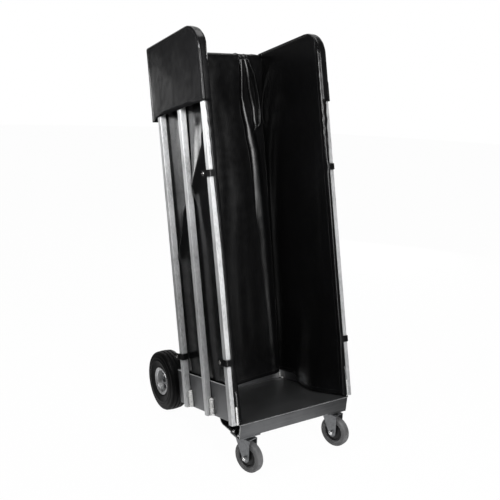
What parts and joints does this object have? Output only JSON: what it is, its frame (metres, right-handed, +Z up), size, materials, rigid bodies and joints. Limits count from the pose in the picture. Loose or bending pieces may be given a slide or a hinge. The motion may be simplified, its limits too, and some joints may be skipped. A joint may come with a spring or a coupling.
{
  "type": "ice cart",
  "caption": "Leaning ice cart: aluminium tray, square-tube sides and a black vinyl liner open at the front, on air-filled rear wheels and swivel front casters.",
  "frame": {"origin": "on the ground, in the middle of the cart's box in X and Y", "axes": "+Z up, +Y towards the back where the handle is, +X to the right of someone facing the open front"},
  "size_m": [0.594, 0.8484, 1.6622],
  "materials": {
    "aluminium": "bare sheet and tube, lightly brushed",
    "weld": "bright weld bead",
    "vinyl": "black coated vinyl, soft sheen",
    "snap": "nickel-plated press snap",
    "zinc": "zinc-plated steel",
    "rim": "light silver paint",
    "tyre": "black rubber",
    "caster_rubber": "grey rubber",
    "caster_core": "grey moulded core",
    "stem": "black rubber stem and cap"
  },
  "bodies": {
    "frame": {"axle": "zinc", "axle_washers": "zinc", "bracket_bolts": "zinc", "caster_channel": "aluminium", "caster_plate_bolts": "zinc", "cotter_pins": "zinc", "left_axle_bracket": "zinc", "left_caster_plate": "zinc", "left_front_post": "aluminium", "left_hood": "vinyl", "left_kingpin": "zinc", "left_middle_post": "aluminium", "left_rear_post": "aluminium", "liner_back": "vinyl", "liner_left": "vinyl", "liner_right": "vinyl", "liner_straps": "vinyl", "post_welds": "weld", "right_axle_bracket": "zinc", "right_caster_plate": "zinc", "right_front_post": "aluminium", "right_hood": "vinyl", "right_kingpin": "zinc", "right_middle_post": "aluminium", "right_rear_post": "aluminium", "strap_snaps": "snap", "top_crossbar": "aluminium", "tray": "aluminium"},
    "left_wheel": {"left_tyre": "tyre", "left_inner_tube": "tyre", "left_rim_outer": "rim", "left_rim_inner": "rim", "left_hub": "zinc", "left_bearings": "zinc", "left_rim_bolts": "zinc", "left_valve_stem": "stem"},
    "right_wheel": {"right_tyre": "tyre", "right_inner_tube": "tyre", "right_rim_outer": "rim", "right_rim_inner": "rim", "right_hub": "zinc", "right_bearings": "zinc", "right_rim_bolts": "zinc", "right_valve_stem": "stem"},
    "left_caster": {"left_caster_fork": "zinc", "left_swivel_race": "zinc", "left_caster_axle": "zinc", "left_caster_nut": "zinc", "left_caster_sleeve": "zinc"},
    "left_caster_wheel": {"left_caster_core": "caster_core", "left_caster_tyre": "caster_rubber"},
    "right_caster": {"right_caster_fork": "zinc", "right_swivel_race": "zinc", "right_caster_axle": "zinc", "right_caster_nut": "zinc", "right_caster_sleeve": "zinc"},
    "right_caster_wheel": {"right_caster_core": "caster_core", "right_caster_tyre": "caster_rubber"}
  },
  "joints": [
    {"name": "left_wheel_spin", "type": "hinge", "parent": "frame", "child": "left_wheel", "pos_m": [-0.25, 0.2695, 0.134], "axis": [1, 0, 0], "continuous": true},
    {"name": "right_wheel_spin", "type": "hinge", "parent": "frame", "child": "right_wheel", "pos_m": [0.25, 0.2695, 0.134], "axis": [1, 0, 0], "continuous": true},
    {"name": "left_caster_swivel", "type": "hinge", "parent": "frame", "child": "left_caster", "pos_m": [-0.212, -0.3375, 0.1], "axis": [0, 0, 1], "continuous": true},
    {"name": "left_caster_roll", "type": "hinge", "parent": "left_caster", "child": "left_caster_wheel", "pos_m": [-0.20555, -0.36062, 0.0635], "axis": [0.9632, 0.2689, 0], "continuous": true},
    {"name": "right_caster_swivel", "type": "hinge", "parent": "frame", "child": "right_caster", "pos_m": [0.212, -0.3375, 0.1], "axis": [0, 0, 1], "continuous": true},
    {"name": "right_caster_roll", "type": "hinge", "parent": "right_caster", "child": "right_caster_wheel", "pos_m": [0.21845, -0.36062, 0.0635], "axis": [0.9632, 0.2689, 0], "continuous": true}
  ]
}
